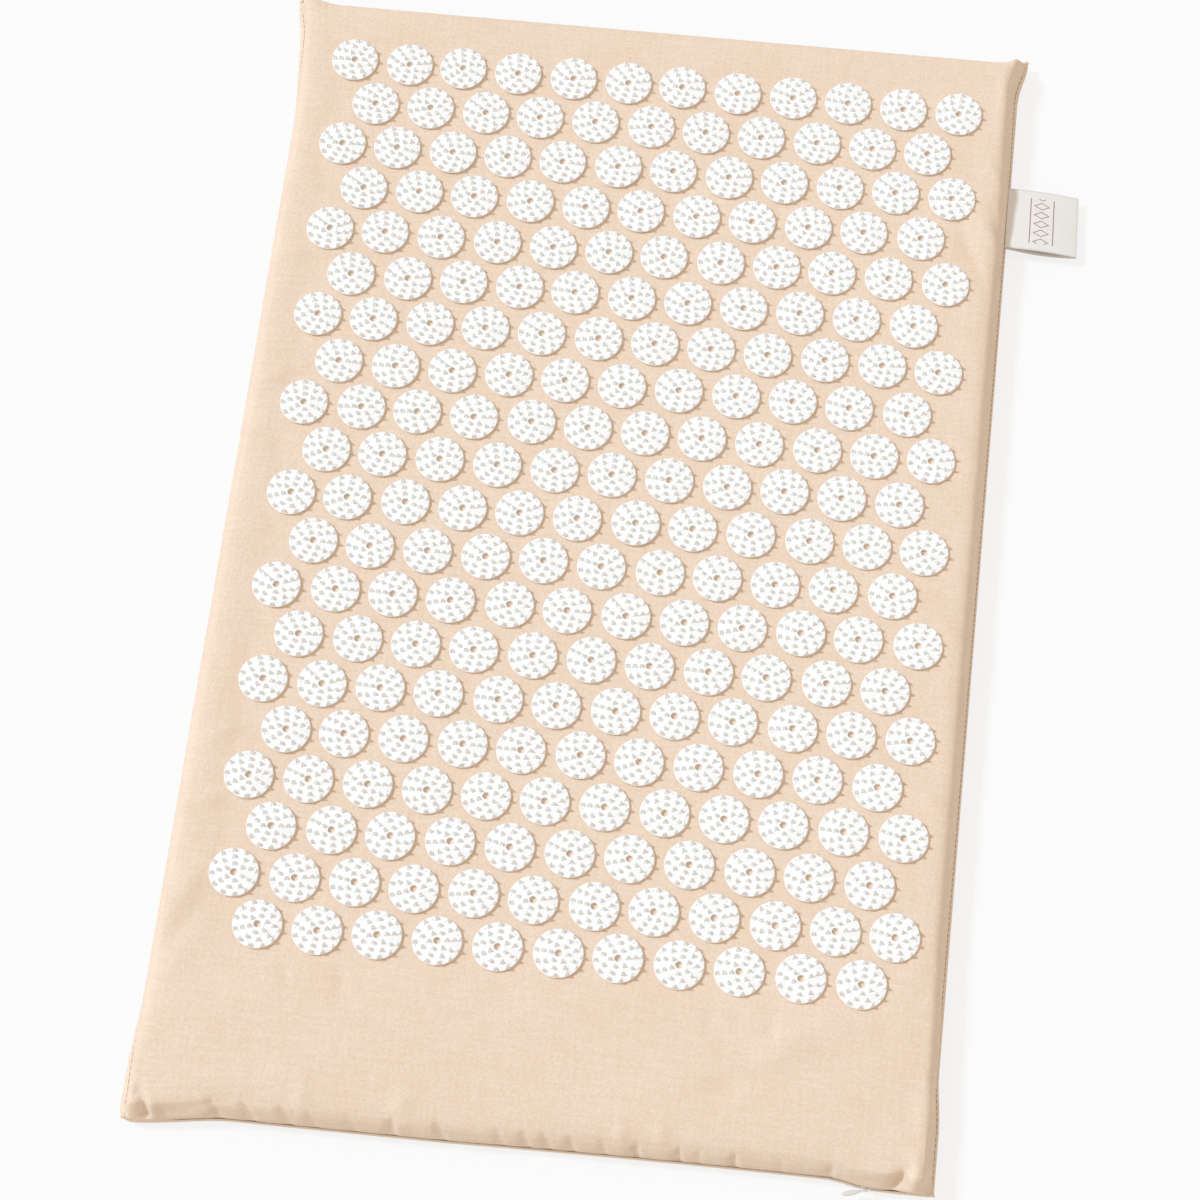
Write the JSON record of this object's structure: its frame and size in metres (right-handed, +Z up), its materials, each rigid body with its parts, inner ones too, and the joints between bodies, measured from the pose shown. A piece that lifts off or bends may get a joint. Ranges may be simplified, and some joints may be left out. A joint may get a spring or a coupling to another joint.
{
  "type": "acupressure mat",
  "caption": "Flat rectangular mat: a zipped cotton cover over a foam slab, set with staggered rows of round plastic discs with sharp spikes, and a folded side label.",
  "frame": {"origin": "on the floor under the middle of the mat, half way between its side seams and its end seams", "axes": "+X to the right across the mat, +Y to the rear edge, away from the zip, +Z up"},
  "size_m": [0.4497, 0.6536, 0.0274],
  "materials": {
    "cover_cotton": "matt plain weave",
    "foam": "open-cell foam",
    "disc_plastic": "moulded, half gloss",
    "label_satin": "satin ribbon",
    "zip_tape": "woven tape",
    "zip_nylon": "extruded filament",
    "slider_metal": "die-cast, lacquered",
    "pull_plastic": "lacquered, half gloss"
  },
  "bodies": {
    "mat": {"foam_core": "foam", "cover_upper_panel": "cover_cotton", "cover_lower_panel": "cover_cotton", "side_label": "label_satin", "zip_tape_upper": "zip_tape", "zip_tape_lower": "zip_tape", "zip_coil_upper": "zip_nylon", "zip_coil_lower": "zip_nylon", "zip_stop_left": "zip_nylon", "zip_stop_right": "zip_nylon", "spike_disc_row_01": "disc_plastic", "spike_disc_row_02": "disc_plastic", "spike_disc_row_03": "disc_plastic", "spike_disc_row_04": "disc_plastic", "spike_disc_row_05": "disc_plastic", "spike_disc_row_06": "disc_plastic", "spike_disc_row_07": "disc_plastic", "spike_disc_row_08": "disc_plastic", "spike_disc_row_09": "disc_plastic", "spike_disc_row_10": "disc_plastic", "spike_disc_row_11": "disc_plastic", "spike_disc_row_12": "disc_plastic", "spike_disc_row_13": "disc_plastic", "spike_disc_row_14": "disc_plastic", "spike_disc_row_15": "disc_plastic", "spike_disc_row_16": "disc_plastic", "spike_disc_row_17": "disc_plastic", "spike_disc_row_18": "disc_plastic", "spike_disc_row_19": "disc_plastic", "spike_disc_row_20": "disc_plastic"},
    "zip_slider": {"zip_slider_body": "slider_metal"},
    "pull_tab": {"zip_pull_tab": "pull_plastic"}
  },
  "joints": [
    {"name": "zip_slide", "type": "slide", "parent": "mat", "child": "zip_slider", "axis": [1, 0, 0], "range_m": [-0.332, 0]},
    {"name": "pull_swing", "type": "hinge", "parent": "zip_slider", "child": "pull_tab", "pos_m": [0.1661, -0.32338, 0.0085], "axis": [0, 0, 1], "range_deg": [-18, 158]}
  ]
}
